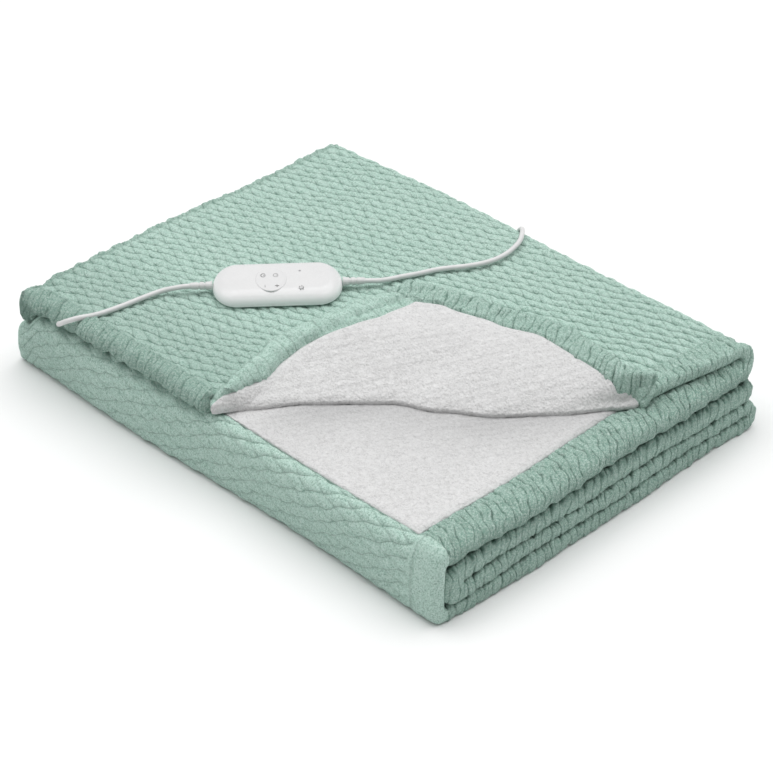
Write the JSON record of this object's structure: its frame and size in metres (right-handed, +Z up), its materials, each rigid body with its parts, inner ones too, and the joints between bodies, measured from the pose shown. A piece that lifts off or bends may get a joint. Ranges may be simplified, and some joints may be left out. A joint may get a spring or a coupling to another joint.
{
  "type": "electric heated blanket",
  "caption": "Plush heated blanket folded into a flat stack, one corner turned back to show its pale lining, with a slim hand control, leads, tied hank and mains plug.",
  "frame": {"origin": "on the surface it rests on, under the middle of the folded blanket", "axes": "+X along the long side of the folded blanket, +Y along its short side towards the side where the mains lead leaves, +Z up"},
  "size_m": [0.5839, 0.4946, 0.1066],
  "materials": {
    "face_cloth": "quilted short plush pile",
    "backing_cloth": "curly white pile",
    "shell": "satin moulded",
    "keypad": "soft matte membrane with small grey marks",
    "lamp_window": "small tinted lens",
    "cord": "satin flexible sheath",
    "tie": "matte strap",
    "pins": "bright nickel plated"
  },
  "bodies": {
    "root": {"blanket": "face_cloth", "backing_lower": "backing_cloth", "backing_turned_corner": "backing_cloth", "control_lower_shell": "shell", "control_upper_shell": "shell", "keypad": "keypad", "indicator_lamp_1": "lamp_window", "indicator_lamp_2": "lamp_window", "blanket_lead_relief": "cord", "mains_lead_relief": "cord", "blanket_lead": "cord", "mains_lead": "cord", "plug_lead": "cord", "mains_lead_hank": "cord", "hank_tie": "tie", "plug_strain_relief": "cord", "plug_body": "cord", "plug_pin_sleeve_1": "cord", "plug_pin_sleeve_2": "cord", "plug_pin_1": "pins", "plug_pin_2": "pins"}
  },
  "joints": []
}
